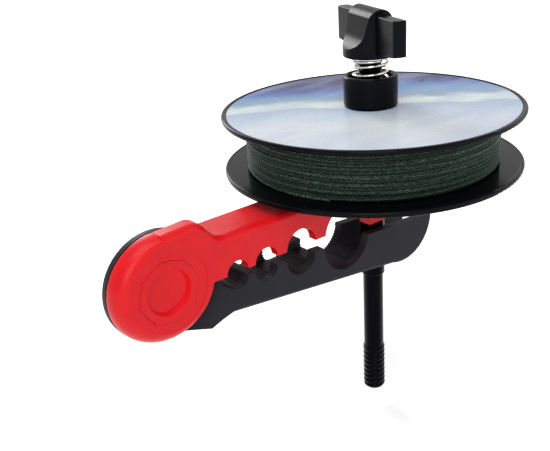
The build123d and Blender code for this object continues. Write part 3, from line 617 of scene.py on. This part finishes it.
# ---- operators ----
class LINEWINDER_OT_jaws(bpy.types.Operator):
    """Finishes the two jaws and the hinge"""

    bl_idname = "linewinder.jaws"
    bl_label = "Jaws and hinge"

    def execute(self, context):
        colours = context.scene.line_winder_colours
        # Moulded ABS from a polished tool: an even, warm red with a soft gloss.
        red = moulded_plastic(
            "gloss_red_abs",
            tuple(colours.jaw_red),
            roughness=0.3,
            texture=0.5 * MM,
            depth=0.003 * MM,
            variation=0.05,
            gleam=0.2,
        )
        # Moulded nylon from a sparked tool: dull, dark grey and faintly grained.
        black = moulded_plastic(
            "textured_black_nylon",
            tuple(colours.jaw_black),
            roughness=0.45,
            texture=0.35 * MM,
            depth=0.02 * MM,
            gleam=0.1,
        )
        # Zinc-plated steel, turned: pale grey with fine rings.
        zinc = drawn_metal("zinc_plated_steel", linear("#A9ABB0"), 0.3, 0.3 * MM, (1, 6, 1))
        # Drawn spring wire: bright, with lines along it.
        steel_wire = tuple(colours.spring_steel)
        wire = drawn_metal("drawn_spring_steel", steel_wire, 0.2, 0.3 * MM, (1, 1, 4))
        for name in ("upper_jaw", "hub_cap"):
            finish_node(name, red)
        for name in ("lower_jaw", "hub_rear_cap", "hinge_washer"):
            finish_node(name, black)
        for name in ("hinge_pin", "hinge_nut"):
            finish_node(name, zinc)
        finish_node("torsion_spring", wire)
        return {"FINISHED"}


class LINEWINDER_OT_spindle(bpy.types.Operator):
    """Makes the threaded spindle and finishes its sleeve and seat"""

    bl_idname = "linewinder.spindle"
    bl_label = "Spindle"

    def execute(self, context):
        colours = context.scene.line_winder_colours
        sizes = context.scene.line_winder_sizes
        # Blackened steel: almost black, with a satin sheen on the thread's crests.
        black_oxide = tuple(colours.spindle_black)
        steel = drawn_metal("blackened_steel", black_oxide, 0.32, 0.4 * MM, (1, 1, 5))
        points, faces = spindle_rows(sizes)
        make_piece("threaded_spindle", points, faces, steel, "frame", ["spindle"])
        for name in ("spindle_sleeve", "roll_pin"):
            finish_node(name, steel)
        # Moulded acetal: smooth black with a low gloss.
        seat = moulded_plastic(
            "black_acetal_seat",
            tuple(colours.fitting_black),
            roughness=0.35,
            texture=0.4 * MM,
            depth=0.01 * MM,
            gleam=0.06,
        )
        finish_node("lower_seat", seat)
        finish_node("seat_washer", soft_rubber("black_rubber", linear("#101012")))
        return {"FINISHED"}


class LINEWINDER_OT_spool(bpy.types.Operator):
    """Finishes the spool's flanges and its label"""

    bl_idname = "linewinder.spool"
    bl_label = "Spool and label"

    def execute(self, context):
        colours = context.scene.line_winder_colours
        # Polished polystyrene: deep black with clear reflections on its rims.
        gloss = moulded_plastic(
            "polished_black_styrene",
            tuple(colours.spool_black),
            roughness=0.16,
            texture=0.8 * MM,
            depth=0.002 * MM,
            gleam=0.06,
        )
        for name in ("spool_lower_flange", "spool_upper_flange"):
            finish_node(name, gloss)
        finish_node("spool_label", printed_label(colours))
        return {"FINISHED"}


class LINEWINDER_OT_line(bpy.types.Operator):
    """Winds the braided line on the spool"""

    bl_idname = "linewinder.line"
    bl_label = "Wound line"

    def execute(self, context):
        sizes = context.scene.line_winder_sizes
        wander = sizes.strand_wander
        half = sizes.strand / 2
        low = CORE_LOW[2] + half
        high = CORE_HIGH[2] - half
        turns = (high - low) / (ROW_GAP * sizes.strand)
        packed = strand_route(LINE_REACH - PACKED_SINK * half, low, high, turns, wander)
        crossing = strand_route(LINE_REACH - half, high, low, turns / ROWS_PER_CROSSING, wander)
        outer = LINE_REACH - sizes.strand * CORE_SINK
        core = lathe(core_profile(outer, CORE_LOW[2], CORE_HIGH[2]), CORE_SIDES)
        wound = join_meshes(core, strand_mesh(packed, half))
        points, faces = join_meshes(wound, strand_mesh(crossing, half))
        braid = braided_line(context.scene.line_winder_colours, LINE_REACH, sizes.strand)
        make_piece("wound_line", points, faces, braid, "spool", ["line_core", "line_winding"])
        return {"FINISHED"}


class LINEWINDER_OT_drag(bpy.types.Operator):
    """Finishes the pressure cup, the drag spring and the thrust washer"""

    bl_idname = "linewinder.drag"
    bl_label = "Cup and drag spring"

    def execute(self, context):
        colours = context.scene.line_winder_colours
        # Moulded acetal: smooth black with a soft line of light down its side.
        cup = moulded_plastic(
            "black_acetal_cup",
            tuple(colours.fitting_black),
            roughness=0.28,
            texture=0.5 * MM,
            depth=0.002 * MM,
            gleam=0.06,
        )
        # Bright drawn wire: sharp highlights along each turn.
        steel_wire = tuple(colours.spring_steel)
        wire = drawn_metal("bright_spring_wire", steel_wire, 0.14, 0.3 * MM, (1, 1, 4))
        # Nickel-plated washer: pale, with fine turned rings.
        nickel = linear("#B9B8B2")
        washer = drawn_metal("nickel_plated_washer", nickel, 0.22, 0.25 * MM, (1, 1, 3))
        finish_node("pressure_cup", cup)
        finish_node("thrust_washer", washer)
        # The spring's own mesh is copied into a piece of its own, and the imported spring is hidden.
        coil = make_copy("drag_coil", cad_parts["drag_spring"], wire)
        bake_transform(coil)
        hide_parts("drag_spring")
        return {"FINISHED"}


class LINEWINDER_OT_knob(bpy.types.Operator):
    """Finishes the wing knob and its insert"""

    bl_idname = "linewinder.knob"
    bl_label = "Wing knob"

    def execute(self, context):
        colours = context.scene.line_winder_colours
        # Moulded nylon: satin black with broad soft highlights in its scoops.
        knob = moulded_plastic(
            "satin_black_nylon_knob",
            tuple(colours.fitting_black),
            roughness=0.3,
            texture=0.4 * MM,
            depth=0.005 * MM,
            gleam=0.06,
        )
        finish_node("wing_knob", knob)
        # Turned brass: warm yellow with fine rings.
        brass = drawn_metal("turned_brass", linear("#C9A45B"), 0.25, 0.3 * MM, (1, 1, 6))
        finish_node("knob_insert", brass)
        return {"FINISHED"}


class LINEWINDER_OT_stage(bpy.types.Operator):
    """Sets the camera, the soft studio light and the pale floor"""

    bl_idname = "linewinder.stage"
    bl_label = "Stage"

    def execute(self, context):
        scene = context.scene
        place_camera(scene)
        for name, place, size, power, tint in LAMPS:
            place_light(scene, name, place, size, power, tint)
        make_floor(scene, SPINDLE_LOW[2] - scene.line_winder_sizes.floor_drop)
        set_world(scene)
        scene.view_settings.view_transform = "Standard"
        return {"FINISHED"}


class LINEWINDER_PT_panel(bpy.types.Panel):
    """Lists the winder's sizes, colours and steps"""

    bl_idname = "LINEWINDER_PT_panel"
    bl_label = "Line winder"
    bl_space_type = "VIEW_3D"
    bl_region_type = "UI"
    bl_category = "Line winder"

    def draw(self, context):
        layout = self.layout
        for group in (context.scene.line_winder_sizes, context.scene.line_winder_colours):
            box = layout.box()
            for name in group.__annotations__:
                box.prop(group, name)
        for step in STEPS:
            layout.operator(step.bl_idname)


STEPS = (
    LINEWINDER_OT_jaws,
    LINEWINDER_OT_spindle,
    LINEWINDER_OT_spool,
    LINEWINDER_OT_line,
    LINEWINDER_OT_drag,
    LINEWINDER_OT_knob,
    LINEWINDER_OT_stage,
)
CLASSES = (LineWinderColours, LineWinderSizes, *STEPS, LINEWINDER_PT_panel)


def register():
    for item in CLASSES:
        bpy.utils.register_class(item)
    bpy.types.Scene.line_winder_colours = bpy.props.PointerProperty(type=LineWinderColours)
    bpy.types.Scene.line_winder_sizes = bpy.props.PointerProperty(type=LineWinderSizes)


def unregister():
    del bpy.types.Scene.line_winder_sizes
    del bpy.types.Scene.line_winder_colours
    for item in reversed(CLASSES):
        bpy.utils.unregister_class(item)


def main():
    register()
    bpy.ops.linewinder.jaws()
    bpy.ops.linewinder.spindle()
    bpy.ops.linewinder.spool()
    bpy.ops.linewinder.line()
    bpy.ops.linewinder.drag()
    bpy.ops.linewinder.knob()
    bpy.ops.linewinder.stage()


if __name__ == "__main__":
    main()
